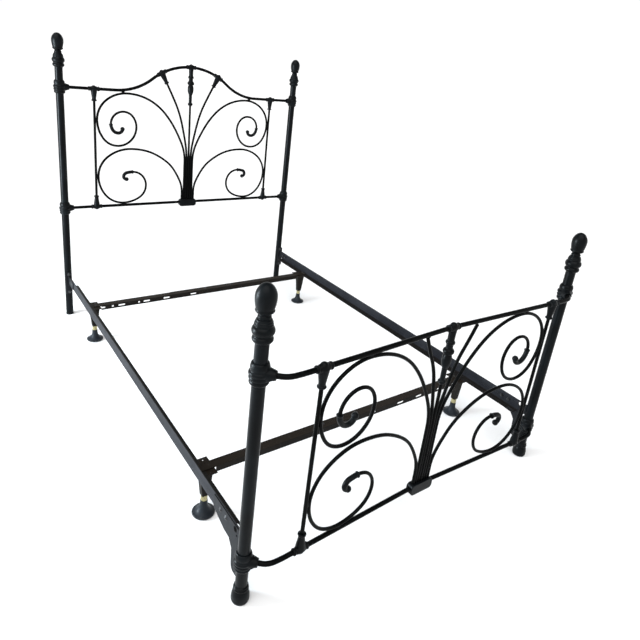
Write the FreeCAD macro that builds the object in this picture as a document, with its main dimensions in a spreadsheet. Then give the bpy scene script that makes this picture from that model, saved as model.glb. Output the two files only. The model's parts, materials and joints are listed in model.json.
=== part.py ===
import FreeCAD, Part
import math
import os
import Sketcher

os.makedirs("parts", exist_ok=True)
doc = FreeCAD.newDocument("bed_frame")
Vector = FreeCAD.Vector
Placement = FreeCAD.Placement
Rotation = FreeCAD.Rotation

# ---------------------------------------------------------------------------------------------
# Driving dimensions, in millimetres. +X is across the bed, +Y runs from foot to head, +Z is up.
# ---------------------------------------------------------------------------------------------
SIZES = [
    ("post_pitch", 1400, "across the bed, between the post axes"),
    ("bed_length", 2100, "between the foot posts' and the head posts' axes"),
    ("front_reach", 68.0, "from the foot posts' axes to the foremost point"),
    ("back_reach", 32.11, "from the head posts' axes to the rearmost point"),
    ("post_diameter", 38, "steel tube of the four posts"),
    ("post_wall", 1.6, "wall of that tube"),
    ("head_tube_top", 1362, "top of a head post's tube"),
    ("foot_tube_top", 880, "top of a foot post's tube"),
    ("head_low", 634, "axis of the headboard's bottom rail above the floor"),
    ("foot_low", 158, "axis of the footboard's bottom rail above the floor"),
    ("panel_rise", 634, "from a board's bottom rail up to its top rail"),
    ("crest_rise", 149.5, "from the head's top rail up to the top of its arch"),
    ("crest_radius", 356, "radius of the arch's dome"),
    ("crest_half", 425, "half width of the whole arch at the rail"),
    ("bow_middle", 31, "how far the foot grille stands in front of its posts at its middle"),
    ("bow_side", 51, "and at its uprights"),
    ("rail_rod", 16, "diameter of the boards' rails"),
    ("upright_rod", 13, "diameter of the uprights"),
    ("scroll_rod", 12, "diameter of the scrolls and the fan rods"),
    ("upright_x", 534, "from the middle of a board to an upright"),
    ("bundle_pitch", 12.4, "between the rods where they leave the base block"),
    ("block_length", 105, "base block, along the rail"),
    ("block_height", 42, "base block, upright"),
    ("block_depth", 28, "base block, front to back"),
    ("block_drop", 25, "from the rail's axis to the base block's underside"),
    ("cap_height", 6, "flat cap under a head post"),
    ("bulb_height", 62, "turned foot under a foot post"),
    ("spigot", 25, "length that plugs into a tube"),
    ("angle_wall", 3, "thickness of all the angle iron"),
    ("rail_face", 700, "from the middle of the bed to a side rail's outer face"),
    ("rail_top", 244, "top edge of the side rails above the floor"),
    ("rail_deep", 51, "upright flange of a side rail"),
    ("rail_shelf", 38, "level flange of a side rail"),
    ("rail_gap_foot", 34, "from the foot posts' axes to the side rails' ends"),
    ("rail_gap_head", 60, "from the head posts' axes to the side rails' ends"),
    ("arm_inset", 349, "from the foot posts' axes to the near cross arm's upright flange"),
    ("head_arm_inset", 1730, "from the foot posts' axes to the far cross arm's upright flange"),
    ("arm_flat", 38, "level flange of a cross arm"),
    ("arm_deep", 25, "upright flange of a cross arm"),
    ("plain_reach", 230, "how far a plain half arm runs past the middle"),
    ("slotted_reach", 405, "how far a slotted half arm runs past the middle"),
    ("leg_x", 655, "from the middle of the bed to a leg's axis"),
    ("leg_behind", 12, "from a cross arm's upright flange back to its legs' axes"),
    ("leg_foot", 82, "lower end of a leg's channel above the floor"),
    ("glide_height", 59.5, "height of the plastic glide"),
    ("stem_diameter", 11, "steel stem of a glide"),
    ("stem_gap", 0.05, "running clearance round a stem"),
    ("stem_top", 104, "upper end of a glide's stem above the floor"),
    ("bolt_diameter", 8, "bolts of the brackets"),
    ("rivet_diameter", 6, "rivets of the arms"),
]
sheet = doc.addObject("Spreadsheet::Sheet", "sizes")
for line, (alias, amount, meaning) in enumerate(SIZES, 1):
    sheet.set(f"A{line}", alias)
    sheet.set(f"B{line}", str(amount))
    sheet.set(f"C{line}", meaning)
    sheet.setAlias(f"B{line}", alias)
doc.recompute()


def size(alias):
    """A driving dimension as it stands in the sheet."""
    return float(getattr(sheet, alias))


FOOT_Y = -(size("bed_length") + size("back_reach") - size("front_reach")) / 2
HEAD_Y = FOOT_Y + size("bed_length")
HALF = size("post_pitch") / 2
POST_R = size("post_diameter") / 2
RAIL_R = size("rail_rod") / 2
ROD_R = size("scroll_rod") / 2
RISE = size("panel_rise")
BORE = "sizes.post_diameter / 2 - sizes.post_wall"
SIDES = {"left": -1, "right": 1}
UPRIGHT = Rotation(Vector(1, 0, 0), 90)      # turns a plan drawing up into a front view
ALONG_X = Rotation(Vector(0, 1, 0), 90)      # turns a primitive's axis from Z to X
ALONG_Y = Rotation(Vector(1, 0, 0), -90)     # turns a primitive's axis from Z to Y
nodes = {}


# ---------------------------------------------------------------------------------------------
# Small helpers for the ways in which the pieces are made
# ---------------------------------------------------------------------------------------------
def node(label, thing, place=None):
    """Registers a finished piece under the name of its file."""
    thing.Label = label
    if place is not None:
        thing.Placement = place
    nodes[label] = thing
    return thing


def bind(thing, **expressions):
    for name, expression in expressions.items():
        thing.setExpression(name.replace("__", "."), expression)
    return thing


def new_sketch(body, role, shift=Vector()):
    sketch = body.newObject("Sketcher::SketchObject", "Outline")
    plane = next(part for part in body.Origin.OriginFeatures if part.Role == role)
    sketch.AttachmentSupport = [(plane, "")]
    sketch.MapMode = "FlatFace"
    sketch.AttachmentOffset = Placement(shift, Rotation())
    return sketch


def bound(sketch, kind, *arguments):
    """A dimension of a sketch whose last argument is an expression on the sheet."""
    *where, expression, amount = arguments
    index = sketch.addConstraint(Sketcher.Constraint(kind, *where, amount))
    sketch.setExpression(f"Constraints[{index}]", expression)


def circle(sketch, expression, amount, centre=Vector()):
    index = sketch.addGeometry(Part.Circle(centre, Vector(0, 0, 1), amount), False)
    bound(sketch, "Radius", index, expression, amount)


def outline(sketch, corners):
    """A closed outline. A corner's third number is the radius of the arc that leads to it."""
    for index, corner in enumerate(corners):
        start = Vector(corners[index - 1][0], corners[index - 1][1], 0)
        end = Vector(corner[0], corner[1], 0)
        if len(corner) == 2:
            sketch.addGeometry(Part.LineSegment(start, end), False)
            continue
        radius = abs(corner[2])
        chord = end - start
        across = Vector(chord.y, -chord.x, 0).normalize() * math.copysign(1, corner[2])
        sag = radius - math.sqrt(max(radius ** 2 - chord.Length ** 2 / 4, 0))
        middle = (start + end) / 2 + across * sag
        sketch.addGeometry(Part.Arc(start, middle, end), False)


def pad(body, sketch, length, midplane=False, reverse=False):
    feature = body.newObject("PartDesign::Pad", "Pad")
    feature.Profile = sketch
    feature.Midplane = midplane
    feature.Reversed = reverse
    feature.setExpression("Length", length)
    return feature


def turned(label, corners):
    """A piece turned about Z from half its outline, given as radius and height."""
    body = doc.addObject("PartDesign::Body", label)
    sketch = new_sketch(body, "XZ_Plane")
    outline(sketch, corners)
    turn = body.newObject("PartDesign::Revolution", "Turning")
    turn.Profile = sketch
    turn.ReferenceAxis = (sketch, ["V_Axis"])
    turn.Angle = 360
    return body


def tube(label, radius, length, bore=None):
    """A straight round bar or tube standing on its own origin."""
    body = doc.addObject("PartDesign::Body", label)
    sketch = new_sketch(body, "XY_Plane")
    circle(sketch, radius, 10)
    if bore:
        circle(sketch, bore, 5)
    pad(body, sketch, length)
    return body


def heading(degrees):
    return Vector(math.cos(math.radians(degrees)), math.sin(math.radians(degrees)), 0)


def bend(start, start_way, end, end_way):
    """Two tangent arcs that join two points along their given directions."""
    if abs(start_way.cross(end - start).z) < 1e-6 and start_way.dot(end_way) > 1 - 1e-9:
        return [Part.LineSegment(start, end)]
    gap = start - end
    total = start_way + end_way
    slope = gap.dot(total)
    spread = 2 * (1 - start_way.dot(end_way))
    if spread < 1e-9:
        reach = gap.dot(gap) / (-2 * slope)
    else:
        reach = (-slope - math.sqrt(slope ** 2 + spread * gap.dot(gap))) / -spread
    near = start + start_way * reach
    far = end - end_way * reach
    joint = (near + far) / 2
    arcs = []
    for first, way, last in ((start, start_way, joint), (end, -end_way, joint)):
        chord = last - first
        side = Vector(-way.y, way.x, 0)
        lean = 2 * side.dot(chord)
        if abs(lean) < 1e-6:
            arcs.append(Part.LineSegment(first, last))
            continue
        centre = first + side * (chord.dot(chord) / lean)
        middle = (first + last) / 2 - centre
        middle = centre + middle.normalize() * (first - centre).Length
        arcs.append(Part.Arc(first, middle, last) if first is start else Part.Arc(last, middle, first))
    return arcs


def bent_rod(label, role, route, radius, profile_role, mirrored=False):
    """A round rod along a flat route of points with headings, drawn in one origin plane."""
    body = doc.addObject("PartDesign::Body", label)
    path = new_sketch(body, role)
    for (x0, y0, turn0), (x1, y1, turn1) in zip(route, route[1:]):
        for edge in bend(Vector(x0, y0, 0), heading(turn0), Vector(x1, y1, 0), heading(turn1)):
            path.addGeometry(edge, False)
    section = new_sketch(body, profile_role)
    centre = Vector(route[0][0], route[0][1], 0)
    if profile_role == "XY_Plane":
        section.AttachmentOffset = Placement(Vector(centre.x, 0, centre.y), Rotation())
    elif role == "XZ_Plane":
        section.AttachmentOffset = Placement(Vector(0, centre.y, centre.x), Rotation())
    else:
        section.AttachmentOffset = Placement(Vector(centre.y, 0, centre.x), Rotation())
    circle(section, radius, ROD_R)
    sweep = body.newObject("PartDesign::AdditivePipe", "Sweep")
    sweep.Profile = section
    sweep.Spine = path
    if mirrored:
        doc.recompute()
        plane = next(part for part in body.Origin.OriginFeatures if part.Role == "YZ_Plane")
        other = body.newObject("PartDesign::Mirrored", "OtherHalf")
        other.Originals = [sweep]
        other.MirrorPlane = (plane, [""])
        body.Tip = other
    return body


def primitive(kind, place=None, **values):
    thing = doc.addObject(f"Part::{kind}", kind)
    for name, amount in values.items():
        setattr(thing, name, amount)
    if place is not None:
        thing.Placement = place
    return thing


def bar(radius, length, place):
    """A round bar along its own Z, used as a body or as a drill."""
    return primitive("Cylinder", place, Radius=radius, Height=length)


def joined(things, label="Joined"):
    fuse = doc.addObject("Part::MultiFuse", label)
    fuse.Shapes = things
    return fuse


def grouped(things, label):
    group = doc.addObject("Part::Compound", label)
    group.Links = things
    return group


def cut(base, tools, label="Cut"):
    result = doc.addObject("Part::Cut", label)
    result.Base = base
    result.Tool = tools[0] if len(tools) == 1 else joined(tools, "Tools")
    return result


def flipped(source, label):
    """The opposite-handed piece, mirrored across the middle of the bed."""
    mirror = doc.addObject("Part::Mirroring", label)
    mirror.Source = source
    mirror.Normal = Vector(1, 0, 0)
    mirror.Base = Vector(0, 0, 0)
    return mirror


def at(x, y, z, rotation=Rotation()):
    return Placement(Vector(x, y, z), rotation)


# ---------------------------------------------------------------------------------------------
# Posts: steel tube with a turned finial on top and a cap or a turned bulb underneath
# ---------------------------------------------------------------------------------------------
POST_Y = {"head": HEAD_Y, "foot": FOOT_Y}
POST_FOOT = {"head": "cap_height", "foot": "bulb_height"}
BOLT_LEVELS = (146, 252)                    # where a head bracket is bolted through its post
PLUG_R = POST_R - size("post_wall")
SPIGOT = size("spigot")

for board in ("head", "foot"):
    for side, sign in SIDES.items():
        name = f"{board}_post_{side}"
        foot = size(POST_FOOT[board])
        shaft = tube(f"{name}_tube", "sizes.post_diameter / 2",
                     f"sizes.{board}_tube_top - sizes.{POST_FOOT[board]}", BORE)
        shaft.Placement = at(sign * HALF, POST_Y[board], foot)
        if board == "head":
            drills = [bar(size("bolt_diameter") / 2 + 0.2, size("post_diameter") + 4,
                          at(sign * HALF, HEAD_Y - POST_R - 2, level, ALONG_Y)) for level in BOLT_LEVELS]
            node(name, cut(shaft, drills))
        else:
            node(name, shaft)

# The egg: an arc swells from the lip to the widest ring, a tighter one closes it, a small one caps it.
LIP_R = 23.5
EGG_R = 28
EGG_TIP_R = 22                              # radius of the small arc on top
LIP_Z = SPIGOT + 93
WIDEST_Z = LIP_Z + 31
EGG_TOP_Z = WIDEST_Z + 36
SWELL_R = ((WIDEST_Z - LIP_Z) ** 2 + (EGG_R - LIP_R) ** 2) / (2 * (EGG_R - LIP_R))
TIP_RISE = EGG_TOP_Z - WIDEST_Z - EGG_TIP_R
CLOSE_R = (EGG_R ** 2 + TIP_RISE ** 2 - EGG_TIP_R ** 2) / (2 * (EGG_R - EGG_TIP_R))
CLOSE_TURN = math.atan2(TIP_RISE, CLOSE_R - EGG_R)
TIP_EDGE = (EGG_TIP_R * math.cos(CLOSE_TURN), WIDEST_Z + TIP_RISE + EGG_TIP_R * math.sin(CLOSE_TURN))
# The finial: spigot, small and large rings, three fine steps, a neck bead, a lip and the egg.
FINIAL = [(0, 0), (PLUG_R, 0), (PLUG_R, SPIGOT), (20, SPIGOT), (23.6, SPIGOT + 3), (23.6, SPIGOT + 19, 9.5),
          (24.6, SPIGOT + 22), (24.6, SPIGOT + 46, 15.5), (23.2, SPIGOT + 48), (23.2, SPIGOT + 54, 3.2),
          (21.6, SPIGOT + 54), (21.6, SPIGOT + 60, 3.2), (19.5, SPIGOT + 60), (19.5, SPIGOT + 65, 2.7),
          (15, SPIGOT + 66), (15, SPIGOT + 76, 5.8), (14.6, SPIGOT + 79), (20, SPIGOT + 82),
          (LIP_R, SPIGOT + 85, 6), (LIP_R, SPIGOT + 91, 3.5), (LIP_R, LIP_Z),
          (EGG_R, WIDEST_Z, SWELL_R), (*TIP_EDGE, CLOSE_R), (0, EGG_TOP_Z, EGG_TIP_R)]
for board in ("head", "foot"):
    for side, sign in SIDES.items():
        label = f"{board}_finial_{side}"
        top = size(f"{board}_tube_top")
        node(label, turned(label, FINIAL), at(sign * HALF, POST_Y[board], top - SPIGOT))

# Head posts stand on flat caps, foot posts on turned bulbs.
CAP = [(0, 0), (19, 0), (20.5, 1.5), (20.5, size("cap_height")), (PLUG_R, size("cap_height")),
       (PLUG_R, size("cap_height") + SPIGOT), (0, size("cap_height") + SPIGOT)]
BULB_TOP = size("bulb_height")
BULB = [(0, 0), (25, 0), (28, 16, 20), (21, BULB_TOP - 16, 60), (22.5, BULB_TOP - 14),
        (22.5, BULB_TOP - 8, 3.5), (20.5, BULB_TOP - 6), (21.5, BULB_TOP - 5), (21.5, BULB_TOP - 1, 2.5),
        (19.5, BULB_TOP), (PLUG_R, BULB_TOP), (PLUG_R, BULB_TOP + SPIGOT), (0, BULB_TOP + SPIGOT)]
for board, profile, name in (("head", CAP, "caps"), ("foot", BULB, "feet")):
    pair = []
    for side, sign in SIDES.items():
        piece = turned(f"{board}_{name}_{side}", profile)
        piece.Placement = at(sign * HALF, POST_Y[board], 0)
        pair.append(piece)
    node(f"{board}_post_{name}", grouped(pair, name))

# ---------------------------------------------------------------------------------------------
# Collars: ringed castings round the posts, each with a tapered socket for the end of a rail
# ---------------------------------------------------------------------------------------------
COLLAR = [(POST_R, -33), (21, -33), (24, -30, 8), (24, -18, 7.5), (25.5, -17), (25.5, -6, 6.6), (26, -5),
          (26, 8, 7.6), (24.5, 9), (25.5, 14, 14), (25, 26, 20), (20.5, 33, 9), (POST_R, 33)]
SOCKET_END = 45                             # from the post's axis to the socket's mouth
SOCKET_ROOT_R = 27
SOCKET_MOUTH_R = 13
RAIL_START = 28                             # how near to the post's axis a rail's end comes
LOWS = {"head": size("head_low"), "foot": size("foot_low")}
SOCKET_WAY = {"head": 0, "foot": -45}       # which way the left sockets point, in plan


def collar(board, side, sign, level):
    """One casting: the ringed sleeve and its socket, bored for post and rail."""
    ring = turned(f"{board}_{side}_ring", COLLAR)
    way = SOCKET_WAY[board] if sign < 0 else 180 - SOCKET_WAY[board]
    outward = Rotation(Vector(0, 0, 1), way).multiply(ALONG_X)
    socket = primitive("Cone", at(0, 0, 0, outward), Radius1=SOCKET_ROOT_R, Radius2=SOCKET_MOUTH_R,
                       Height=SOCKET_END)
    lip = primitive("Torus", Placement(outward.multVec(Vector(0, 0, SOCKET_END - 3)), outward),
                    Radius1=SOCKET_MOUTH_R - 2, Radius2=3)
    rivet_way = Rotation(Vector(0, 0, 1), -135 if sign < 0 else -45)
    rivet = primitive("Sphere", Placement(outward.multVec(Vector(0, 0, 30)) + Vector(0, 0, -9)
                                          + rivet_way.multVec(Vector(13.5, 0, 0)), Rotation()), Radius=4)
    post_hole = bar(POST_R, 80, at(0, 0, -40))
    rail_hole = bar(RAIL_R, SOCKET_END, Placement(outward.multVec(Vector(0, 0, RAIL_START)), outward))
    casting = cut(joined([ring, socket, lip, rivet]), [post_hole, rail_hole])
    casting.Placement = at(sign * HALF, POST_Y[board], level)
    return casting


for board in ("head", "foot"):
    castings = [collar(board, side, sign, level) for level in (LOWS[board], LOWS[board] + RISE)
                for side, sign in SIDES.items()]
    node(f"{board}_collars", grouped(castings, "Collars"))

# ---------------------------------------------------------------------------------------------
# Rails of the two boards: 16 mm rod. The foot rails bow forward out of their posts, and the
# headboard's top rail rises into an arch.
# ---------------------------------------------------------------------------------------------
PANEL_Y = {"head": HEAD_Y, "foot": FOOT_Y - size("bow_middle")}
HINGE_X = 40                                # half the straight middle of the foot rails
PANEL_TURN = {"head": 0, "foot": math.degrees(math.asin((size("bow_side") - size("bow_middle"))
                                                        / (size("upright_x") - HINGE_X)))}


def in_panel(board, thing, x, z, rotation=Rotation()):
    """Places a piece in the left half of a board, which at the foot is turned a little forward."""
    turn = Rotation(Vector(0, 0, 1), PANEL_TURN[board])
    half = Placement(Vector(-HINGE_X, PANEL_Y[board], 0), turn)
    thing.Placement = half.multiply(at(x + HINGE_X, 0, z, rotation))
    return thing


flat_half = HALF - RAIL_START
rod = tube("head_bottom_rod", "sizes.rail_rod / 2", f"sizes.post_pitch - {2 * RAIL_START}")
node("head_bottom_rail", rod, at(-flat_half, HEAD_Y, LOWS["head"], ALONG_X))

dome_drop = size("crest_rise") - size("crest_radius")
sweep_radius = (size("crest_half") ** 2 + dome_drop ** 2 - size("crest_radius") ** 2) / (
    2 * (size("crest_radius") + dome_drop))
share = size("crest_radius") / (size("crest_radius") + sweep_radius)
turn_x = size("crest_half") * share
turn_z = dome_drop + (sweep_radius - dome_drop) * share
turn_angle = math.degrees(math.asin(turn_x / size("crest_radius")))
CREST = [(0, size("crest_rise"), 180), (-turn_x, turn_z, 180 + turn_angle), (-size("crest_half"), 0, 180),
         (-flat_half, 0, 180)]
crest = bent_rod("crest", "XZ_Plane", CREST, "sizes.rail_rod / 2", "YZ_Plane", mirrored=True)
node("head_top_rail", crest, at(0, HEAD_Y, LOWS["head"] + RISE))

BOW = size("bow_middle")
FOOT_TURN = PANEL_TURN["foot"]
BEND_HALF = 10                              # how far a rail's small bend runs either side of its hinge
SLANT = heading(180 + FOOT_TURN)
SLANT_LENGTH = size("upright_x") + 50 - HINGE_X
LAST_STRAIGHT = 50                          # how far from the post's axis a rail's last stretch begins
hinge = Vector(-HINGE_X, -BOW, 0)
near = hinge + SLANT * BEND_HALF
far = hinge + SLANT * SLANT_LENGTH
into_post = heading(135)
before = Vector(-HALF, 0, 0) - into_post * LAST_STRAIGHT
last = Vector(-HALF, 0, 0) - into_post * RAIL_START
FOOT_RAIL = [(0, -BOW, 180), (BEND_HALF - HINGE_X, -BOW, 180), (near.x, near.y, 180 + FOOT_TURN),
             (far.x, far.y, 180 + FOOT_TURN), (before.x, before.y, 135), (last.x, last.y, 135)]
for place, level in (("bottom", LOWS["foot"]), ("top", LOWS["foot"] + RISE)):
    rod = bent_rod(f"foot_{place}", "XY_Plane", FOOT_RAIL, "sizes.rail_rod / 2", "YZ_Plane", mirrored=True)
    node(f"foot_{place}_rail", rod, at(0, FOOT_Y, level))

# ---------------------------------------------------------------------------------------------
# Uprights and the T-shaped knuckles cast round their joints with the rails
# ---------------------------------------------------------------------------------------------
UPRIGHT_R = size("upright_rod") / 2
KNUCKLE_LEG = 62                            # from the rail's axis to the open end of the leg
KNUCKLE_HALF = 28                           # from the leg's axis to either end of the sleeve
ROD_DEPTH = 40                              # from the rail's axis to the end of an upright
KNUCKLE_LEG_PROFILE = [(0, 0), (17, 0), (15.5, 14), (11, 44), (10.2, 54), (12, 55), (12, 62, 4.5), (0, 62)]
KNUCKLE_SLEEVE_PROFILE = [(0, 0), (9.5, 0), (9.5, 9, 5.2), (11, 11), (14, 28, 60), (11, 45, 60),
                          (9.5, 47), (9.5, 56, 5.2), (0, 56)]


def rail_drill(curved):
    """What bores a casting for its rail: a straight bar, or the head's arch."""
    if curved:
        return primitive("Torus", at(0, 0, -size("crest_radius"), ALONG_Y), Radius1=size("crest_radius"),
                         Radius2=RAIL_R)
    return bar(RAIL_R, 120, at(-60, 0, 0, ALONG_X))


def knuckle(rod_radius, curved=False):
    """A T casting with its leg down local -Z and its sleeve along X, bored for rail and rod."""
    leg = turned("leg", KNUCKLE_LEG_PROFILE)
    leg.Placement = at(0, 0, 0, Rotation(Vector(1, 0, 0), 180))
    sleeve = turned("sleeve", KNUCKLE_SLEEVE_PROFILE)
    sleeve.Placement = at(-KNUCKLE_HALF, 0, 0, ALONG_X)
    dome = primitive("Sphere", at(0, 0, 5), Radius=12.5)
    rod_hole = bar(rod_radius, KNUCKLE_LEG, at(0, 0, -ROD_DEPTH - KNUCKLE_LEG))
    return cut(joined([leg, sleeve, dome]), [rail_drill(curved), rod_hole])


for board in ("head", "foot"):
    rod = tube(f"{board}_upright", "sizes.upright_rod / 2", f"sizes.panel_rise - {2 * ROD_DEPTH}")
    in_panel(board, rod, -size("upright_x"), LOWS[board] + ROD_DEPTH)
    node(f"{board}_uprights", grouped([rod, flipped(rod, "OtherUpright")], "Uprights"))
    castings = []
    for level, way in ((LOWS[board], 180), (LOWS[board] + RISE, 0)):
        casting = knuckle(UPRIGHT_R)
        in_panel(board, casting, -size("upright_x"), level, Rotation(Vector(0, 1, 0), way))
        castings += [casting, flipped(casting, "OtherKnuckle")]
    node(f"{board}_knuckles", grouped(castings, "Knuckles"))

# ---------------------------------------------------------------------------------------------
# Base block: a cast cradle on the bottom rail that holds the feet of the seven rods
# ---------------------------------------------------------------------------------------------
PITCH = size("bundle_pitch")
ROD_FOOT = RAIL_R + 1.5                     # lower end of the rods above the rail's axis
BLOCK_SOFT = 13                             # radius of the block's corners
for board in ("head", "foot"):
    body = doc.addObject("PartDesign::Body", f"{board}_block_body")
    sketch = new_sketch(body, "XZ_Plane")
    half_length = size("block_length") / 2
    low = -size("block_drop")
    high = low + size("block_height")
    soft = BLOCK_SOFT
    right = [(half_length - soft, low), (half_length, low + soft, soft), (half_length, high - soft),
             (half_length - soft, high, soft)]
    left = [(soft - half_length, high), (-half_length, high - soft, soft), (-half_length, low + soft),
            (soft - half_length, low, soft)]
    outline(sketch, right + left)
    pad(body, sketch, "sizes.block_depth", midplane=True)
    body.Placement = at(0, PANEL_Y[board], LOWS[board])
    drills = [nodes[f"{board}_bottom_rail"], bar(ROD_R, 40, at(0, PANEL_Y[board], LOWS[board] + ROD_FOOT))]
    for step in (1, 2, 3):
        drill = in_panel(board, bar(ROD_R, 40, at(0, 0, 0)), -step * PITCH, LOWS[board] + ROD_FOOT)
        drills += [drill, flipped(drill, "OtherDrill")]
    node(f"{board}_base_block", cut(body, drills))

# ---------------------------------------------------------------------------------------------
# Scrolls: one rod each, from the base block out to the rail and the upright and round inwards.
# A route point is x and z from the middle of the bottom rail, with the heading in degrees.
# ---------------------------------------------------------------------------------------------
TOUCH = 0.05                                # left between rods that are tacked together
weld_rail = RAIL_R + ROD_R + TOUCH
weld_upright = size("upright_x") - UPRIGHT_R - ROD_R - TOUCH
UPPER_SCROLL = [(-2 * PITCH, ROD_FOOT, 90), (-2 * PITCH, 250, 90), (-95, 449, 121), (-236, 590, 153),
                (-362, RISE - weld_rail, 180), (-weld_upright, 474, 270), (-414, 338, 0), (-312, 443, 90),
                (-382, 523, 180), (-450, 456, 270)]
LOWER_SCROLL = [(-3 * PITCH, ROD_FOOT, 90), (-3 * PITCH, 62, 90), (-89, 197, 124), (-205, 291, 154),
                (-345, 321, 180), (-weld_upright, 168, 270), (-386, weld_rail, 0), (-257, 112, 90),
                (-332, 191, 180)]
TIP_R = 9
TIP_RING_R = 7.5
TIP_BALL_R = 11.5
UPPER_TIP = [(-450, 456, 270), (-412, 408, 0), (-388, 430, 90)]
LOWER_TIP = [(-332, 191, 180), (-384, 165, 270), (-368, 150, 0)]


def scroll_tip(name, route):
    """The cast end of a scroll: a ring, a thicker curl and a ball, cut square where the rod ends."""
    curl = []
    for (x0, y0, turn0), (x1, y1, turn1) in zip(route, route[1:]):
        curl += bend(Vector(x0, y0, 0), heading(turn0), Vector(x1, y1, 0), heading(turn1))
    path = Part.Wire([edge.toShape() for edge in curl])
    first = Vector(route[0][0], route[0][1], 0)
    rim = Part.Wire(Part.Circle(first, heading(route[0][2]), TIP_R).toShape())
    sweep = doc.addObject("Part::Feature", name)
    sweep.Shape = path.makePipeShell([rim], True, True)
    ring_turn = Rotation(Vector(0, 0, 1), heading(route[0][2]))
    ring = primitive("Torus", Placement(first + heading(route[0][2]) * 2, ring_turn), Radius1=TIP_RING_R,
                     Radius2=3.6)
    last = Vector(route[-1][0], route[-1][1], 0)
    ball = primitive("Sphere", Placement(last, Rotation()), Radius=TIP_BALL_R)
    behind = bar(20, 8, Placement(first - heading(route[0][2]) * 8, ring_turn))
    return cut(joined([sweep, ring, ball]), [behind])


for board in ("head", "foot"):
    for tier, route in (("upper", UPPER_SCROLL), ("lower", LOWER_SCROLL)):
        rod = bent_rod(f"{board}_{tier}", "XZ_Plane", route, "sizes.scroll_rod / 2", "XY_Plane")
        in_panel(board, rod, 0, LOWS[board])
        node(f"{board}_{tier}_scroll_left", rod)
        node(f"{board}_{tier}_scroll_right", flipped(rod, "OtherScroll"))
    tips = []
    for tier, route in (("upper", UPPER_TIP), ("lower", LOWER_TIP)):
        tip = in_panel(board, scroll_tip(f"{board}_{tier}_curl", route), 0, LOWS[board], UPRIGHT)
        tips += [tip, flipped(tip, "OtherTip")]
    node(f"{board}_scroll_tips", grouped(tips, "Tips"))

# ---------------------------------------------------------------------------------------------
# Fan rods and the centre rod with its turned spindle, under the top rail
# ---------------------------------------------------------------------------------------------
FAN_X = {"head": 170, "foot": 120}          # where the fan rods reach the top rail
FAN_STRAIGHT = 250                          # how high they stand straight in the bundle
SPINDLE_TOP = {"head": RISE + size("crest_rise"), "foot": RISE}
SPINDLE_LENGTH = 212                        # from the rail's axis down to the spindle's lower end
SPINDLE_GRIP = 14                           # length of rod inside the spindle's lower end
ARCH_TURN = math.asin(FAN_X["head"] / size("crest_radius"))
ARCH_Z = RISE + dome_drop + size("crest_radius") * math.cos(ARCH_TURN)
SPINDLE = [(0, 0), (14, 0), (12.5, 20), (12, 47), (12, 61, 8), (12, 76), (14, 77), (14, 96, 11.2), (12.5, 98),
           (15.5, 106, 20), (16.5, 118, 40), (9.5, 150, 60), (9, 195), (9, 210, 8), (8.5, 212), (0, 212)]

for board in ("head", "foot"):
    if board == "head":
        middle = (48, 471, 76)
        end = (FAN_X["head"] - ROD_DEPTH * math.sin(ARCH_TURN), ARCH_Z - ROD_DEPTH * math.cos(ARCH_TURN),
               90 - math.degrees(ARCH_TURN))
    else:
        middle = (42, 440, 78)
        end = (FAN_X["foot"], RISE - RAIL_R - ROD_R * math.cos(math.radians(66)) - TOUCH, 66)
    route = [(PITCH, ROD_FOOT, 90), (PITCH, FAN_STRAIGHT, 90), middle, end]
    route = [(-x, z, 180 - turn) for x, z, turn in route]
    fan = bent_rod(f"{board}_fan", "XZ_Plane", route, "sizes.scroll_rod / 2", "XY_Plane")
    in_panel(board, fan, 0, LOWS[board])
    centre_length = SPINDLE_TOP[board] - SPINDLE_LENGTH + SPINDLE_GRIP - ROD_FOOT
    centre = bar(ROD_R, centre_length, at(0, PANEL_Y[board], LOWS[board] + ROD_FOOT))
    bind(centre, Radius="sizes.scroll_rod / 2")
    node(f"{board}_fan_rods", grouped([fan, flipped(fan, "OtherFan"), centre], "Fans"))

    stem = turned(f"{board}_stem", SPINDLE)
    stem.Placement = at(0, 0, 0, Rotation(Vector(1, 0, 0), 180))
    sleeve = turned(f"{board}_crown_sleeve", KNUCKLE_SLEEVE_PROFILE)
    sleeve.Placement = at(-KNUCKLE_HALF, 0, 0, ALONG_X)
    dome = primitive("Sphere", at(0, 0, 5), Radius=12.5)
    grip = bar(ROD_R, 30, at(0, 0, -SPINDLE_LENGTH + SPINDLE_GRIP - 30))
    spindle = cut(joined([stem, sleeve, dome]), [rail_drill(board == "head"), grip])
    node(f"{board}_centre_spindle", spindle, at(0, PANEL_Y[board], LOWS[board] + SPINDLE_TOP[board]))

pair = []
for sign in SIDES.values():
    casting = knuckle(ROD_R, curved=True)
    casting.Placement = at(sign * FAN_X["head"], HEAD_Y, LOWS["head"] + ARCH_Z,
                           Rotation(Vector(0, 1, 0), sign * math.degrees(ARCH_TURN)))
    pair.append(casting)
node("head_fan_knuckles", grouped(pair, "Knuckles"))

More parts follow.
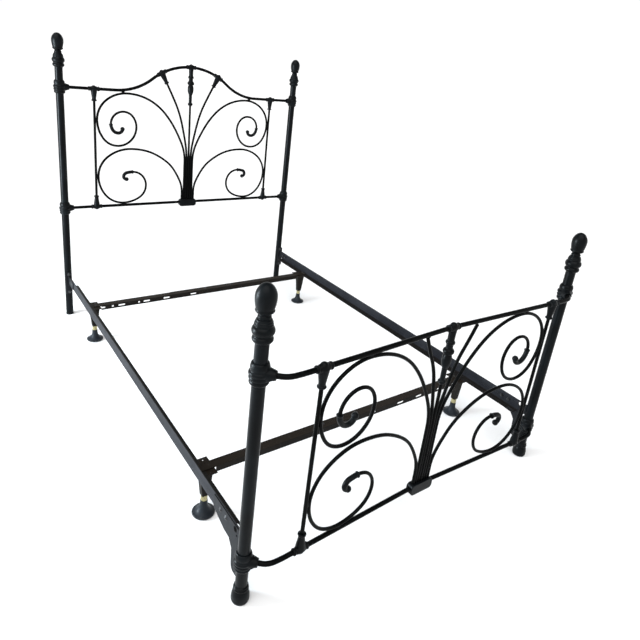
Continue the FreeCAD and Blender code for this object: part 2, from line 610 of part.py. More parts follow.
# ---------------------------------------------------------------------------------------------
# Side rails: angle iron, its upright flange outside and its level flange inside at the bottom
# ---------------------------------------------------------------------------------------------
WALL = size("angle_wall")
FACE = size("rail_face")
SHELF_Z = size("rail_top") - size("rail_deep")
ARM_Y = {"foot": FOOT_Y + size("arm_inset"), "head": FOOT_Y + size("head_arm_inset")}
RIVET_R = size("rivet_diameter") / 2
BOLT_R = size("bolt_diameter") / 2
HOLE_GAP = 0.2
BOLT_Z = (size("rail_top") + SHELF_Z + WALL) / 2
FOOT_BOLTS_Y = (FOOT_Y + 112, FOOT_Y + 148)
HEAD_BOLTS_Y = (HEAD_Y - 75, HEAD_Y - 99)
RIVET_X = 686
INNER_RIVET_X = 646                         # the slotted halves stop short of the rails
RIVET_Y = (12, 30)                          # behind a cross arm's upright flange
LONG = 3000                                 # a drill that crosses the whole bed
BIG_HOLE = (10, FOOT_Y + 52, 228)           # radius, y and z of the large hole at the foot end
SMALL_HOLE = (4, FOOT_Y + 41, 212)          # and of the small one beside it
HEAD_HOLE = (5, HEAD_Y - 118, 228)
SHELF_START = FOOT_Y + 57                   # the shelf is cut back from the foot post
SHELF_SLOT = (674, FOOT_Y + 80)
SLOT_WIDTH = 9


def through(radius, y, z):
    """A drill across the bed, through whatever stands there on either side."""
    return bar(radius, LONG, at(-LONG / 2, y, z, ALONG_X))


def slot_tool(length, width, depth, place):
    """A round-ended cutter whose slot runs along local X and which cuts along local Y."""
    straight = length - width
    block = primitive("Box", at(-straight / 2, -depth / 2, -width / 2), Length=straight, Width=depth,
                      Height=width)
    ends = [bar(width / 2, depth, at(sign * straight / 2, -depth / 2, 0, ALONG_Y))
            for sign in SIDES.values()]
    tool = joined([block] + ends, "Slot")
    tool.Placement = place
    return tool


for side, sign in SIDES.items():
    body = doc.addObject("PartDesign::Body", f"rail_{side}_body")
    sketch = new_sketch(body, "XZ_Plane")
    shelf = size("rail_shelf")
    top = size("rail_top")
    corners = [(-FACE, SHELF_Z), (shelf - FACE, SHELF_Z), (shelf - FACE, SHELF_Z + WALL),
               (WALL - FACE, SHELF_Z + WALL), (WALL - FACE, top), (-FACE, top)]
    outline(sketch, [(-sign * x, z) for x, z in corners])
    pad(body, sketch, "sizes.bed_length - sizes.rail_gap_foot - sizes.rail_gap_head", reverse=True)
    body.Placement = at(0, FOOT_Y + size("rail_gap_foot"), 0)
    drills = [through(*BIG_HOLE), through(*SMALL_HOLE), through(*HEAD_HOLE)]
    drills += [through(BOLT_R + HOLE_GAP, y, BOLT_Z) for y in FOOT_BOLTS_Y + HEAD_BOLTS_Y]
    for arm_y in ARM_Y.values():
        drills += [bar(RIVET_R, 40, at(sign * RIVET_X, arm_y + step, SHELF_Z - 20)) for step in RIVET_Y]
    drills.append(slot_tool(34, SLOT_WIDTH, 20, at(sign * SHELF_SLOT[0], SHELF_SLOT[1], SHELF_Z,
                                          Rotation(Vector(0, 0, 1), 90).multiply(UPRIGHT))))
    inner = min(sign * (FACE - WALL), sign * (FACE - shelf - 1))
    drills.append(primitive("Box", at(inner, FOOT_Y, SHELF_Z - 1), Length=shelf + 1 - WALL,
                            Width=SHELF_START - FOOT_Y, Height=WALL + 2))
    node(f"side_rail_{side}", cut(body, drills))

# ---------------------------------------------------------------------------------------------
# Brackets: plates on the posts that the side rails are bolted to
# ---------------------------------------------------------------------------------------------
PLATE = 4
COLLAR_CLEAR_R = 30
BACK_INNER = 686                            # the head bracket's back plate, across the front of its post
BACK_EDGE = 718
BACK_LOW = 134
BACK_HIGH = 130
WING_REACH = 114                            # from the head post's axis to the end of the bracket's wing
WING_HIGH = 46
# The foot bracket's outline, as distance behind the foot post's axis and height above the floor.
FOOT_PLATE = [(12, 63), (50, 63), (64, 80, 20), (68, 140), (88, 165), (120, 167), (196, 192), (196, 241),
              (12, 241)]
foot_plates = []
head_plates = []
for side, sign in SIDES.items():
    body = doc.addObject("PartDesign::Body", f"foot_bracket_{side}_body")
    sketch = new_sketch(body, "YZ_Plane")
    outline(sketch, FOOT_PLATE)
    pad(body, sketch, f"{PLATE}")
    body.Placement = at(sign * (FACE + PLATE / 2) - PLATE / 2, FOOT_Y, 0)
    post = bar(POST_R, 400, at(sign * HALF, FOOT_Y, 0))
    ring = bar(COLLAR_CLEAR_R, 70, at(sign * HALF, FOOT_Y, LOWS["foot"] - 35))
    drills = [post, ring, through(*BIG_HOLE), through(*SMALL_HOLE)]
    drills += [through(BOLT_R + HOLE_GAP, y, BOLT_Z) for y in FOOT_BOLTS_Y]
    foot_plates.append(cut(body, drills))

    wing_x = sign * (FACE + PLATE / 2) - PLATE / 2
    wing = primitive("Box", at(wing_x, HEAD_Y - WING_REACH, SHELF_Z + 3), Length=PLATE,
                     Width=WING_REACH - POST_R, Height=WING_HIGH)
    back = primitive("Box", at(min(sign * BACK_EDGE, sign * BACK_INNER), HEAD_Y - POST_R - PLATE, BACK_LOW),
                     Length=BACK_EDGE - BACK_INNER, Width=PLATE, Height=BACK_HIGH)
    drills = [bar(BOLT_R + HOLE_GAP, 40, at(sign * HALF, HEAD_Y - POST_R - 20, level, ALONG_Y))
              for level in BOLT_LEVELS]
    drills += [through(BOLT_R + HOLE_GAP, y, BOLT_Z) for y in HEAD_BOLTS_Y]
    head_plates.append(cut(joined([wing, back]), drills))
node("foot_brackets", grouped(foot_plates, "Brackets"))
node("head_brackets", grouped(head_plates, "Brackets"))

# Bolts: domed heads, round shanks and nuts. Eight hold the rails, four go through the head posts.
HEAD_RISE = 4.5
NUT_HIGH = 6.5


def bolt(grip, place):
    """One bolt along local Z from the underside of its head, and its nut."""
    dome = primitive("Sphere", at(0, 0, 5.5), Radius=10)
    trim = bar(12, 20, at(0, 0, 0))
    head = cut(dome, [trim])
    shank = bar(BOLT_R, grip + NUT_HIGH + 2, at(0, 0, 0))
    nut = primitive("Prism", at(0, 0, grip), Polygon=6, Circumradius=7.5, Height=NUT_HIGH)
    piece = joined([head, shank, nut], "Bolt")
    piece.Placement = place
    return piece


bolts = []
for side, sign in SIDES.items():
    inward = Rotation(Vector(0, 1, 0), -90 * sign)
    for y in FOOT_BOLTS_Y + HEAD_BOLTS_Y:
        bolts.append(bolt(PLATE + WALL, at(sign * (FACE + PLATE), y, BOLT_Z, inward)))
    for level in BOLT_LEVELS:
        bolts.append(bolt(PLATE + size("post_diameter"),
                          at(sign * HALF, HEAD_Y - POST_R - PLATE, level, ALONG_Y)))

# ---------------------------------------------------------------------------------------------
# Cross arms: each is two lengths of angle iron, lapped and bolted in the middle
# ---------------------------------------------------------------------------------------------
ARM_TOP = SHELF_Z + 2 * WALL
FLANGE_BACK = 620                           # how far out the arms' upright flanges reach
ARM_SLOTS = (42, 146, 283, 397)             # from a slotted half's outer end to its slots
ARM_HOLES = (99, 240)
ARM_SLOT = 36                               # length of those slots
SLOT_DROP = 15                              # from an arm's level flange down to the slots' middle
PLAIN_SLOT = 128                            # from a plain half's inner end to its slot
LAP_Y = 22                                  # from the upright flange back to the lap's bolts
UNDER = 20                                  # how far below the shelf the drills start
DRILL = 60
LAP_BOLTS = (-20, 150)                      # along the lap, from the middle towards the plain half
PLAIN_SIDE = {"foot": -1, "head": 1}


def half_arm(label, sign, outer, inner, y, top, tools):
    """Angle iron from its outer end on one side to its inner end past the middle."""
    body = doc.addObject("PartDesign::Body", f"{label}_body")
    sketch = new_sketch(body, "YZ_Plane")
    flat, deep = size("arm_flat"), size("arm_deep")
    outline(sketch, [(0, top - deep), (WALL, top - deep), (WALL, top - WALL), (flat, top - WALL), (flat, top),
                     (0, top)])
    pad(body, sketch, f"{outer + inner}")
    body.Placement = at(-outer if sign < 0 else -inner, y, 0)
    notch = primitive("Box", at(min(sign * FLANGE_BACK, sign * (outer + 5)), y - 1, top - deep - 1),
                      Length=outer + 5 - FLANGE_BACK, Width=WALL + 1, Height=deep + 1 - WALL)
    node(label, cut(body, [notch] + tools))


for board, y in ARM_Y.items():
    plain = PLAIN_SIDE[board]
    middle = -plain * (size("plain_reach") - PLAIN_SLOT)
    lap = [bar(BOLT_R + HOLE_GAP, DRILL, at(plain * x, y + LAP_Y, SHELF_Z - UNDER)) for x in LAP_BOLTS]
    holes = [bar(RIVET_R, DRILL, at(plain * RIVET_X, y + step, SHELF_Z - UNDER)) for step in RIVET_Y]
    holes.append(slot_tool(ARM_SLOT, SLOT_WIDTH, DRILL, at(middle, y, ARM_TOP - SLOT_DROP)))
    half_arm(f"{board}_arm_plain", plain, FACE - WALL - 0.5, size("plain_reach"), y, ARM_TOP, lap + holes)

    outer = FACE - size("rail_shelf") - 2
    centres = [-plain * (outer - step) for step in ARM_SLOTS] + [middle]
    slots = [slot_tool(ARM_SLOT, SLOT_WIDTH, DRILL, at(x, y, ARM_TOP - SLOT_DROP)) for x in centres]
    slots += [bar(5, DRILL, at(-plain * (outer - step), y - DRILL / 2, ARM_TOP - SLOT_DROP, ALONG_Y))
              for step in ARM_HOLES]
    lap = [bar(BOLT_R + HOLE_GAP, DRILL, at(plain * x, y + LAP_Y, SHELF_Z - UNDER)) for x in LAP_BOLTS]
    holes = [bar(RIVET_R, DRILL, at(-plain * INNER_RIVET_X, y + step + WALL, SHELF_Z - UNDER))
             for step in RIVET_Y]
    half_arm(f"{board}_arm_slotted", -plain, outer, size("slotted_reach"), y + WALL, ARM_TOP - WALL,
             slots + lap + holes)

for board, y in ARM_Y.items():
    for x in LAP_BOLTS:
        down = Rotation(Vector(1, 0, 0), 180)
        bolts.append(bolt(2 * WALL, at(PLAIN_SIDE[board] * x, y + LAP_Y, ARM_TOP, down)))
node("frame_bolts", grouped(bolts, "Bolts"))

# ---------------------------------------------------------------------------------------------
# Legs: a gusset plate under the rail and the arm, and a tapered channel down to the glide socket
# ---------------------------------------------------------------------------------------------
GUSSET = 3
GUSSET_INNER = 626
GUSSET_OUTER = 693
GUSSET_AHEAD = 36                           # from a leg's axis to the gusset's front edge
GUSSET_LONG = 92
SPARE_HOLES = (-14, 56)                     # in the gussets, from the arm's upright flange
CHANNEL_WALL = 2.5
LEG_TOP = SHELF_Z - GUSSET
LEG_Y = {board: y + size("leg_behind") for board, y in ARM_Y.items()}
LEG_X = size("leg_x")


def channel_outline(width, depth):
    """A channel's cross-section, open towards the head."""
    half, wall = width / 2, CHANNEL_WALL
    return [(-half, -depth / 2), (half, -depth / 2), (half, depth / 2), (half - wall, depth / 2),
            (half - wall, wall - depth / 2), (wall - half, wall - depth / 2), (wall - half, depth / 2),
            (-half, depth / 2)]


def rivet(grip, place):
    """A round-headed rivet along local -Z from the underside of its head, closed below."""
    dome = primitive("Sphere", at(0, 0, -3.5), Radius=7)
    head = cut(dome, [bar(12, 20, at(0, 0, -20))])
    shank = bar(RIVET_R, grip, at(0, 0, -grip))
    tail = bar(5, 2, at(0, 0, -grip - 2))
    piece = joined([head, shank, tail], "Rivet")
    piece.Placement = place
    return piece


rivets = []
for board, arm_y in ARM_Y.items():
    for side, sign in SIDES.items():
        label = f"{board}_leg_{side}"
        body = doc.addObject("PartDesign::Body", f"{label}_body")
        low = new_sketch(body, "XY_Plane", Vector(0, 0, 0))
        outline(low, channel_outline(25, 22))
        high = new_sketch(body, "XY_Plane", Vector(0, 0, LEG_TOP - size("leg_foot")))
        outline(high, channel_outline(50, 26))
        loft = body.newObject("PartDesign::AdditiveLoft", "Channel")
        loft.Profile = low
        loft.Sections = [high]
        loft.Ruled = True
        body.Placement = at(sign * LEG_X, LEG_Y[board], size("leg_foot"))
        corner = at(min(sign * GUSSET_INNER, sign * GUSSET_OUTER), LEG_Y[board] - GUSSET_AHEAD, LEG_TOP)
        plate = primitive("Box", corner, Length=GUSSET_OUTER - GUSSET_INNER, Width=GUSSET_LONG, Height=GUSSET)
        plain = sign == PLAIN_SIDE[board]
        rivet_x = RIVET_X if plain else INNER_RIVET_X
        shift = 0 if plain else WALL
        spots = [(rivet_x, step + shift) for step in RIVET_Y] + [(INNER_RIVET_X, step) for step in SPARE_HOLES]
        holes = [bar(RIVET_R, DRILL, at(sign * x, arm_y + step, SHELF_Z - UNDER)) for x, step in spots]
        node(label, cut(joined([body, plate]), holes))
        top = ARM_TOP if plain else ARM_TOP - WALL
        for step in RIVET_Y:
            rivets.append(rivet(top - LEG_TOP, at(sign * rivet_x, arm_y + step + shift, top)))
node("arm_rivets", grouped(rivets, "Rivets"))

# ---------------------------------------------------------------------------------------------
# Glide sockets, and the four glides that turn in them on their steel stems
# ---------------------------------------------------------------------------------------------
STEM_R = size("stem_diameter") / 2
SOCKET_BORE = STEM_R + size("stem_gap")
SOCKET_LOW = size("glide_height") + 0.5
SOCKET_TOP = 112                            # above the floor, inside the channel
SOCKET_HIGH = SOCKET_TOP - SOCKET_LOW
COLLAR_HIGH = size("leg_foot") - SOCKET_LOW
SOCKET = [(SOCKET_BORE, 0), (11, 0), (12, 1), (12, COLLAR_HIGH - 1), (11, COLLAR_HIGH), (8, COLLAR_HIGH),
          (8, SOCKET_HIGH), (SOCKET_BORE, SOCKET_HIGH)]
STEM_BOTTOM = 30
TALL = size("glide_height")
GLIDE = [(0, 0), (33, 0), (39, 2.5, 9), (41, 6, 4), (39, 9, 4), (20, 24, -30), (13.5, 48, -40), (13, TALL - 1),
         (12, TALL), (STEM_R, TALL), (STEM_R, STEM_BOTTOM), (0, STEM_BOTTOM)]
sockets = []
for board in LEG_Y:
    for side, sign in SIDES.items():
        place = (sign * LEG_X, LEG_Y[board])
        socket = turned(f"{board}_{side}_socket_body", SOCKET)
        socket.Placement = at(*place, SOCKET_LOW)
        sockets.append(socket)
        label = f"{board}_glide_{side}"
        node(label, turned(label, GLIDE), at(*place, 0))
        stem = tube(f"{label}_stem", "sizes.stem_diameter / 2", f"sizes.stem_top - {STEM_BOTTOM}")
        node(f"{board}_stem_{side}", stem, at(*place, STEM_BOTTOM))
node("glide_sockets", grouped(sockets, "Sockets"))

# ---------------------------------------------------------------------------------------------
# Check every object, then write each piece
# ---------------------------------------------------------------------------------------------
doc.recompute()
broken = [f"{thing.Label} {thing.State}" for thing in doc.Objects
          if "Invalid" in thing.State or "Error" in thing.State]
for label, thing in nodes.items():
    if thing.Shape.isNull() or not thing.Shape.isValid() or not thing.Shape.Solids:
        broken.append(f"{label} has no valid solid")
if broken:
    raise RuntimeError("\n".join(broken))
whole = FreeCAD.BoundBox()
for label, thing in nodes.items():
    thing.Shape.exportStep(f"parts/{label}.step")
    whole.add(thing.Shape.BoundBox)
print(len(nodes), "nodes in", whole)
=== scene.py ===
import json
import math

import bpy
from mathutils import Matrix, Vector
from mathutils.bvhtree import BVHTree


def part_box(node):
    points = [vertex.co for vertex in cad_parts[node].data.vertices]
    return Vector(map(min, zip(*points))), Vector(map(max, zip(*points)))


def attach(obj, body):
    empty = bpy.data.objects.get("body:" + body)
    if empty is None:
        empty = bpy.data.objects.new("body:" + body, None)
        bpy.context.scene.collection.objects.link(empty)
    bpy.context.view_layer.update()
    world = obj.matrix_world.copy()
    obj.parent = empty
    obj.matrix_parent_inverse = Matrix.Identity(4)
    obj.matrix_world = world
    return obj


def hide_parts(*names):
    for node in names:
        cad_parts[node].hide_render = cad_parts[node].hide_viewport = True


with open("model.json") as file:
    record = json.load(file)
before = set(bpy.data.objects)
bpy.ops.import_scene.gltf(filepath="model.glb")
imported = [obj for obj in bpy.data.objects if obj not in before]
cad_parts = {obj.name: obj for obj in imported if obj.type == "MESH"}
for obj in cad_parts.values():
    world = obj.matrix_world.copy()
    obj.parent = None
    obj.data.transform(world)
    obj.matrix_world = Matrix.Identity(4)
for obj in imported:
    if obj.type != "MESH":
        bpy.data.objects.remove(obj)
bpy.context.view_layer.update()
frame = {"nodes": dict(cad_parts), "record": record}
nodes = frame["nodes"]

# Camera: it stands at eye height outside the foot's left corner, looks down over the bed and is
# rolled a little. Its place is measured from the left foot post, which stands nearest to it.
eye_left, eye_beyond_foot, eye_height = 1.3559, 1.0322, 1.5529
turn, dip, roll = math.radians(38.04), math.radians(20.16), math.radians(6.95)
post_low, post_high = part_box("foot_post_left")
foot_y = (post_low[1] + post_high[1]) / 2
eye = Vector((-eye_left, foot_y - eye_beyond_foot, eye_height))
ahead = Vector((math.sin(turn) * math.cos(dip), math.cos(turn) * math.cos(dip), -math.sin(dip)))
level_right = Vector((math.cos(turn), -math.sin(turn), 0))
level_up = level_right.cross(ahead)
right = level_right * math.cos(roll) + level_up * math.sin(roll)
up = level_up * math.cos(roll) - level_right * math.sin(roll)
camera_data = bpy.data.cameras.new("camera")
camera_data.sensor_width = 36
camera_data.lens = 31.19
camera_data.shift_x = -0.0009
camera_data.shift_y = -0.0895
camera_data.clip_end = 400
camera = bpy.data.objects.new("camera", camera_data)
camera.matrix_world = Matrix.Translation(eye) @ Matrix((right, up, -ahead)).transposed().to_4x4()
bpy.context.collection.objects.link(camera)
bpy.context.scene.camera = camera


# Floor: matt white studio paper, wide enough to reach past the wall on every side.
def colour(red, green, blue):
    return (red, green, blue, 1)


def plain_material(name, **constants):
    """A new material with these constants on its shader's own sockets."""
    material = bpy.data.materials.new(name)
    material.use_nodes = True
    sockets = material.node_tree.nodes["Principled BSDF"].inputs
    for socket, value in constants.items():
        sockets[socket.replace("_", " ")].default_value = value
    return material


floor_width = 160
bpy.ops.object.select_all(action="DESELECT")
bpy.ops.mesh.primitive_plane_add(size=floor_width, location=(0, 0, 0))
floor = bpy.context.object
floor.name = "floor"
floor.data.materials.append(plain_material("studio_paper", Base_Color=colour(0.93, 0.93, 0.93), Roughness=0.9,
                                           Specular_IOR_Level=0.1))

# Wall: a plain white ring far round the bed closes the view above the floor. It glows, so that its
# shade doesn't depend on the lights, and its foot is sunk in the floor.
wall_radius = 62
wall_height = 40
wall_sunk = 1
bpy.ops.object.select_all(action="DESELECT")
bpy.ops.mesh.primitive_cylinder_add(vertices=96, radius=wall_radius, depth=wall_height,
                                    end_fill_type="NOTHING", location=(0, 0, wall_height / 2 - wall_sunk))
wall = bpy.context.object
wall.name = "wall"
wall.data.materials.append(plain_material("white_wall", Base_Color=colour(0, 0, 0), Specular_IOR_Level=0,
                                          Emission_Color=colour(1, 1, 1), Emission_Strength=1.02))

# Light: a broad soft sun from the upper left whitens the floor and models the posts from the left,
# a cool box on the left draws their highlights, and a dim world fills the shadows.
world = bpy.data.worlds.new("studio")
world.use_nodes = True
world.node_tree.nodes["Background"].inputs["Color"].default_value = colour(0.96, 0.98, 1.0)
world.node_tree.nodes["Background"].inputs["Strength"].default_value = 0.08
bpy.context.scene.world = world
bpy.context.scene.view_settings.view_transform = "Standard"

towards_sun = Vector((-0.55, -0.45, 1.2))
sky = bpy.data.lights.new("sky", "SUN")
sky.energy = 3.35
sky.angle = math.radians(75)
sky_holder = bpy.data.objects.new("sky", sky)
sky_holder.rotation_euler = towards_sun.to_track_quat("Z", "Y").to_euler()
bpy.context.collection.objects.link(sky_holder)

box_place = Vector((-3.2, 0.8, 0.95))
box_aim = Vector((0, -0.5, 2.4))
box = bpy.data.lights.new("cool_box", "AREA")
box.shape = "RECTANGLE"
box.size = 0.9
box.size_y = 1.7
box.energy = 260
box.color = (0.80, 0.92, 1.0)
box_holder = bpy.data.objects.new("cool_box", box)
box_holder.location = box_place
box_holder.rotation_euler = (box_aim - box_place).to_track_quat("-Z", "Y").to_euler()
bpy.context.collection.objects.link(box_holder)


# Posts and rods: steel tube and steel rod under satin black powder coat. It is sprayed on
# electrostatically, so it lies evenly with a faint orange peel, and a little dust lies on what looks up.
class Signal:
    """One output of a shader node; arithmetic on it adds Math nodes."""

    def __init__(self, tree, socket):
        self.tree = tree
        self.socket = socket

    def make(self, kind, settings=None, output=0, **inputs):
        """Adds any node to the same tree. Its settings go in before the values of its sockets, which
        are given by name, or as n and a number where a node has several of one name."""
        node = self.tree.nodes.new(kind)
        for name, value in (settings or {}).items():
            setattr(node, name, value)
        for name, value in inputs.items():
            key = int(name[1:]) if name[0] == "n" and name[1:].isdigit() else name.replace("_", " ")
            socket = node.inputs[key]
            if isinstance(value, Signal):
                self.tree.links.new(value.socket, socket)
            else:
                socket.default_value = value
        return Signal(self.tree, node.outputs[output])

    def maths(self, operation, other):
        return self.make("ShaderNodeMath", {"operation": operation}, n0=self, n1=other)

    def __add__(self, other):
        return self.maths("ADD", other)

    def __mul__(self, other):
        return self.maths("MULTIPLY", other)

    __radd__ = __add__
    __rmul__ = __mul__

    def ramp(self, low, high, start=0.0, end=1.0):
        """start below low, end above high, and a smooth change between them."""
        return self.make("ShaderNodeMapRange", {"interpolation_type": "SMOOTHSTEP"}, n0=self, n1=low, n2=high,
                         n3=start, n4=end)

    def blend(self, first, second):
        """The first colour where this signal is 0 and the second where it is 1."""
        return self.make("ShaderNodeMix", {"data_type": "RGBA"}, output=2, n0=self, n6=first, n7=second)

    def noise(self, scale, detail=4.0, roughness=0.55, stretch=(1, 1, 1)):
        """Cloudy noise between 0 and 1 on this vector, drawn out along an axis with a small stretch."""
        place = self
        if stretch != (1, 1, 1):
            place = self.make("ShaderNodeMapping", Vector=self, Scale=stretch)
        return self.make("ShaderNodeTexNoise", Vector=place, Scale=scale, Detail=detail, Roughness=roughness)

    def height(self):
        """The upward part of this vector."""
        return self.make("ShaderNodeSeparateXYZ", output="Z", Vector=self)


def finish_material(name, metallic=0.0, specular=0.5, coat=0.0, coat_roughness=0.2):
    """A new material and the Signal of object coordinates in it, with its constant sockets set."""
    material = plain_material(name, Metallic=metallic, Specular_IOR_Level=specular, Coat_Weight=coat,
                              Coat_Roughness=coat_roughness)
    places = material.node_tree.nodes.new("ShaderNodeTexCoord")
    return material, Signal(material.node_tree, places.outputs["Object"])


def cover(material, base, roughness, relief, strength, depth):
    """Connects what changes over a surface: its colour, its roughness, and a relief of a depth in metres."""
    shader = material.node_tree.nodes["Principled BSDF"]
    bump = relief.make("ShaderNodeBump", Strength=strength, Distance=depth, Height=relief)
    for name, signal in (("Base Color", base), ("Roughness", roughness), ("Normal", bump)):
        signal.tree.links.new(signal.socket, shader.inputs[name])
    return material


def facing_up(place):
    """1 where a surface looks up, 0 where it is upright or looks down."""
    return place.make("ShaderNodeNewGeometry", output="Normal").height().ramp(0.35, 0.95)


dust_grey = colour(0.016, 0.018, 0.020)


def powder_coat(name, thin, thick, peel, sheen):
    material, place = finish_material(name, specular=sheen, coat=0.01)
    cloud = place.noise(9, detail=3)
    rub = place.noise(42, detail=5, roughness=0.7).ramp(0.52, 0.72)
    dust = facing_up(place) * place.noise(70, detail=4).ramp(0.35, 0.8) * 0.25
    base = dust.blend(cloud.ramp(0.35, 0.7).blend(thin, thick), dust_grey)
    roughness = 0.25 + cloud * 0.10 + rub * 0.07 + dust * 0.25
    fine_peel = place.noise(330, detail=2, roughness=0.6) * peel
    broad_peel = place.noise(26, detail=2) * (peel * 1.5)
    return cover(material, base, roughness, fine_peel + broad_peel, strength=0.5, depth=0.0004)


finishes = {}
slots = {part["node"]: part["material_slot"] for part in frame["record"]["subparts"]}


def coat_slot(slot, material):
    """Keeps the finish of a slot, and gives it to each CAD piece in that slot."""
    finishes[slot] = material
    for label in slots:
        if slots[label] == slot:
            nodes[label].data.materials.clear()
            nodes[label].data.materials.append(material)


coat_slot("post_enamel", powder_coat("post_coat", thin=colour(0.0009, 0.0013, 0.0017),
                                     thick=colour(0.0024, 0.0037, 0.0047), peel=0.5, sheen=0.08))
coat_slot("rod_enamel", powder_coat("rod_coat", thin=colour(0.0007, 0.0008, 0.0008),
                                    thick=colour(0.0017, 0.0020, 0.0021), peel=0.4, sheen=0.035))


# Castings: collars, knuckles, spindles, base blocks, scroll tips, finials, caps and feet, of iron under
# the same coat. The iron was poured round the rods in a sand mould, so every inner corner is a soft fillet,
# no edge is sharp, and the sand's grain and a few pits show through.
def cast_coat():
    material, place = finish_material("casting_coat", specular=0.08, coat=0.01, coat_roughness=0.22)
    cloud = place.noise(16, detail=4)
    sand = place.noise(420, detail=3, roughness=0.65)
    lumps = place.noise(95, detail=3, roughness=0.5)
    pits = place.make("ShaderNodeTexVoronoi", Vector=place, Scale=230).ramp(0.0, 0.16)
    dust = facing_up(place) * lumps.ramp(0.4, 0.75) * 0.25
    enamel = cloud.ramp(0.35, 0.7).blend(colour(0.0009, 0.0013, 0.0016), colour(0.0030, 0.0044, 0.0055))
    roughness = 0.26 + cloud * 0.09 + sand * 0.12 + dust * 0.2
    relief = sand * 0.35 + lumps * 0.8 + pits * 0.3
    return cover(material, dust.blend(enamel, dust_grey), roughness, relief, strength=0.6, depth=0.0006)


def loose_copy(label, name):
    """A copy of a CAD piece with its doubled points merged, as the active object."""
    piece = nodes[label].copy()
    piece.data = nodes[label].data.copy()
    piece.name = name
    bpy.context.collection.objects.link(piece)
    bpy.ops.object.select_all(action="DESELECT")
    piece.select_set(True)
    bpy.context.view_layer.objects.active = piece
    bpy.ops.object.mode_set(mode="EDIT")
    bpy.ops.mesh.select_all(action="SELECT")
    bpy.ops.mesh.remove_doubles(threshold=0.00002)
    bpy.ops.object.mode_set(mode="OBJECT")
    return piece


def shape_with(piece, kind, **settings):
    """Adds a modifier to a piece and applies it."""
    modifier = piece.modifiers.new(kind.lower(), kind)
    for name, value in settings.items():
        setattr(modifier, name, value)
    bpy.ops.object.modifier_apply(modifier=modifier.name)


def stand_in(piece, label):
    """Gives a finished copy the finish, the body and the place of its CAD piece."""
    piece.data.materials.clear()
    piece.data.materials.append(finishes[slots[label]])
    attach(piece, "frame")
    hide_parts(label)


def poured(label, voxel, passes):
    """Swaps a CAD piece for a copy under a fine voxel skin, smoothed so many times."""
    piece = loose_copy(label, f"{label}_cast")
    shape_with(piece, "REMESH", mode="VOXEL", voxel_size=voxel, use_smooth_shade=True)
    shape_with(piece, "SMOOTH", factor=0.5, iterations=passes)
    stand_in(piece, label)


coat_slot("casting_enamel", cast_coat())
for board in ("head", "foot"):
    poured(f"{board}_collars", voxel=0.0014, passes=2)
    poured(f"{board}_knuckles", voxel=0.0010, passes=4)
    poured(f"{board}_centre_spindle", voxel=0.0010, passes=3)
    poured(f"{board}_base_block", voxel=0.0010, passes=5)
    poured(f"{board}_scroll_tips", voxel=0.0009, passes=4)
    for side in ("left", "right"):
        poured(f"{board}_finial_{side}", voxel=0.0012, passes=2)
poured("head_fan_knuckles", voxel=0.0010, passes=4)
poured("foot_post_feet", voxel=0.0014, passes=2)
poured("head_post_caps", voxel=0.0010, passes=2)


# Rails, cross arms, legs and brackets: hot-rolled angle, bar and plate under a thin enamel. The rolls
# leave faint lines along the bar, handling leaves rubs and flecks, and the rolls and shears leave small
# rounded edges, where the coat catches the light as a thin line. Faces that look up carry a painted light
# tone.
def rolled_coat(name, dark, light, painted_top_light, stretch):
    material, place = finish_material(name, specular=0.07)
    lines = place.noise(60, detail=3, stretch=stretch)
    cloud = place.noise(5, detail=5, roughness=0.6)
    scuff = place.noise(38, detail=6, roughness=0.75).ramp(0.58, 0.7)
    flecks = place.noise(260, detail=2).ramp(0.66, 0.74)
    base = cloud.ramp(0.3, 0.72).blend(dark, light)
    # Painted light: faces that look up are blended towards a warmer tone that stands in for the light falling
    # on the tops.
    base = (facing_up(place) * 0.8).blend(base, painted_top_light)
    base = (scuff * 0.3).blend(base, colour(0.060, 0.060, 0.062))
    base = (flecks * 0.3).blend(base, colour(0.012, 0.010, 0.008))
    roughness = 0.42 + lines * 0.14 + scuff * 0.12
    relief = lines * 0.8 + place.noise(300, detail=3) * 0.25 + flecks * 0.3
    return cover(material, base, roughness, relief, strength=0.45, depth=0.0005)


def rounded(label, width):
    """Swaps a CAD piece for a copy with edges rounded to a width."""
    piece = loose_copy(label, f"{label}_rounded")
    shape_with(piece, "BEVEL", width=width, segments=2, limit_method="ANGLE",
               angle_limit=math.radians(32), use_clamp_overlap=True)
    bpy.ops.object.shade_smooth_by_angle(angle=math.radians(38))
    shape_with(piece, "WEIGHTED_NORMAL", keep_sharp=True)
    stand_in(piece, label)


coat_slot("rail_enamel", rolled_coat("rail_coat", dark=colour(0.009, 0.0095, 0.012),
                                     light=colour(0.020, 0.021, 0.025),
                                     painted_top_light=colour(0.012, 0.0105, 0.009), stretch=(1, 0.04, 1)))
coat_slot("arm_enamel", rolled_coat("arm_coat", dark=colour(0.005, 0.0042, 0.0034),
                                    light=colour(0.010, 0.0082, 0.0064),
                                    painted_top_light=colour(0.016, 0.0125, 0.0095), stretch=(0.04, 1, 1)))
coat_slot("bracket_enamel", rolled_coat("plate_coat", dark=colour(0.007, 0.0075, 0.009),
                                        light=colour(0.015, 0.016, 0.018),
                                        painted_top_light=colour(0.012, 0.0115, 0.011), stretch=(1, 1, 0.2)))
for side in ("left", "right"):
    rounded(f"side_rail_{side}", width=0.0008)
    for board in ("head", "foot"):
        rounded(f"{board}_leg_{side}", width=0.0006)
for board in ("head", "foot"):
    rounded(f"{board}_arm_plain", width=0.0008)
    rounded(f"{board}_arm_slotted", width=0.0008)
    rounded(f"{board}_brackets", width=0.0006)


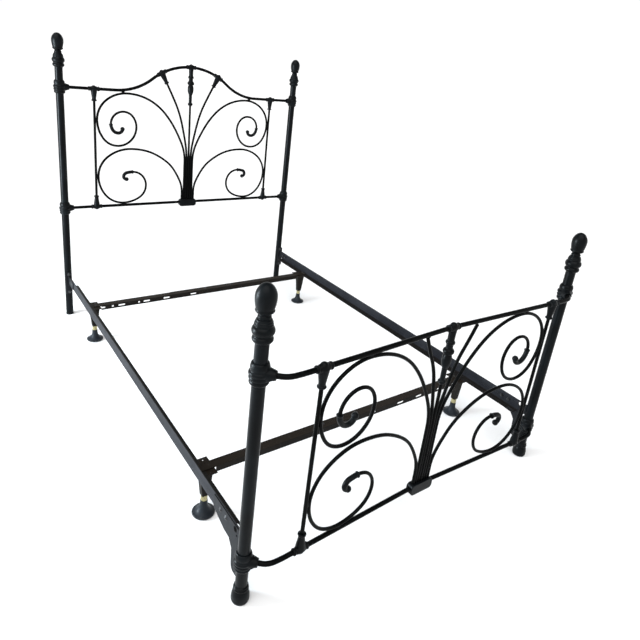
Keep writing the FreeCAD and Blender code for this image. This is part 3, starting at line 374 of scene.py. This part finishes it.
# Fasteners: the bolts of the brackets and of the arms' laps, and the rivets of arm, rail and gusset, of
# blackened steel, rubbed bright on their crowns by the spanner and the rivet set.
def fastener_finish():
    material, place = finish_material("blackened_steel", metallic=0.6)
    cloud = place.noise(240, detail=4)
    base = cloud.ramp(0.4, 0.75).blend(colour(0.010, 0.010, 0.011), colour(0.085, 0.085, 0.088))
    return cover(material, base, 0.34 + cloud * 0.2, place.noise(700, detail=2), strength=0.4, depth=0.0003)


coat_slot("fastener_steel", fastener_finish())
rounded("frame_bolts", width=0.0004)


# Glides: feet moulded in a tough blue-grey black plastic, with a fine spark-eroded grain, and greyed by
# scuffs near the floor.
def glide_finish():
    material, place = finish_material("glide_plastic", specular=0.14)
    scuff_height = 0.014
    grain = place.noise(900, detail=2)
    near_floor = place.height().ramp(0.0, scuff_height, 1.0, 0.0)
    scuff = near_floor * place.noise(120, detail=5).ramp(0.42, 0.7)
    plastic = place.noise(30, detail=3).blend(colour(0.006, 0.008, 0.011), colour(0.014, 0.018, 0.023))
    base = scuff.blend(plastic, colour(0.10, 0.10, 0.098))
    return cover(material, base, 0.38 + grain * 0.12 + scuff * 0.2, grain, strength=0.35, depth=0.0003)


coat_slot("glide_plastic", glide_finish())


# Ferrules: sockets of pressed brass in the legs' lower ends, gone dull and greenish in patches.
def brass_finish():
    material, place = finish_material("dull_brass", metallic=0.85)
    dull = place.noise(160, detail=5, roughness=0.7)
    base = dull.ramp(0.35, 0.7).blend(colour(0.46, 0.41, 0.22), colour(0.20, 0.18, 0.10))
    return cover(material, base, 0.32 + dull * 0.3, dull, strength=0.3, depth=0.0003)


coat_slot("socket_brass", brass_finish())


# Stems: drawn steel pins that turn with the glides in the ferrules, with fine rings round them.
def stem_finish():
    material, place = finish_material("drawn_steel", metallic=1.0)
    rings = place.noise(900, detail=2, stretch=(0.05, 0.05, 1))
    base = rings.blend(colour(0.36, 0.36, 0.37), colour(0.56, 0.56, 0.56))
    return cover(material, base, 0.25 + rings * 0.2, rings, strength=0.3, depth=0.0002)


coat_slot("stem_steel", stem_finish())

# Weld beads: a short bead fills the groove in front and behind where a scroll comes nearest to a rail
# or an upright, and where a foot fan rod comes nearest to the top rail. The steps of the arc ripple
# it, and it lies under the coat.
bead_half_length, bead_half_width, bead_half_depth = 0.0085, 0.0030, 0.0022
bead_off_centre = 0.0030
broad_ripple, broad_pace = 0.10, 17
fine_ripple, fine_pace = 0.05, 41


def nearest_points(first, second):
    """The points where two CAD pieces come nearest to each other."""
    tree = BVHTree.FromPolygons([point.co for point in nodes[second].data.vertices],
                                [face.vertices for face in nodes[second].data.polygons])
    pairs = ((point.co, tree.find_nearest(point.co)) for point in nodes[first].data.vertices)
    start, (hit, _, _, _) = min(pairs, key=lambda pair: pair[1][3])
    return start, hit


def bead(start, end, face):
    """One rippled bead in the groove between two rods, on the face towards the foot or the head."""
    across = (end - start).normalized()
    along = across.cross(Vector((0, 1, 0))).normalized()
    place = (start + end) / 2 + Vector((0, face * bead_off_centre, 0))
    bpy.ops.object.select_all(action="DESELECT")
    bpy.ops.mesh.primitive_uv_sphere_add(segments=20, ring_count=28, radius=1)
    lump = bpy.context.object
    for point in lump.data.vertices:
        step = point.co.z
        broad = broad_ripple * math.sin(step * broad_pace + point.co.x)
        ripple = 1 + broad + fine_ripple * math.sin(step * fine_pace)
        point.co = (place + along * step * bead_half_length + across * point.co.x * bead_half_width * ripple
                    + Vector((0, face, 0)) * point.co.y * bead_half_depth * ripple)
    bpy.ops.object.shade_smooth()
    return lump


for board in ("head", "foot"):
    joints = [(f"{board}_{tier}_scroll_{side}", f"{board}_{other}") for side in ("left", "right")
              for tier, other in (("upper", "top_rail"), ("upper", "uprights"), ("lower", "uprights"),
                                  ("lower", "bottom_rail"))]
    welds = [nearest_points(*pair) for pair in joints]
    if board == "foot":
        start, end = nearest_points("foot_fan_rods", "foot_top_rail")
        welds += [(start, end), (start * Vector((-1, 1, 1)), end * Vector((-1, 1, 1)))]
    lumps = [bead(start, end, face) for start, end in welds for face in (-1, 1)]
    bpy.ops.object.select_all(action="DESELECT")
    for lump in lumps:
        lump.select_set(True)
    bpy.context.view_layer.objects.active = lumps[0]
    bpy.ops.object.join()
    beads = bpy.context.object
    beads.name = f"{board}_weld_beads"
    beads.data.materials.append(finishes["casting_enamel"])
    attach(beads, "frame")
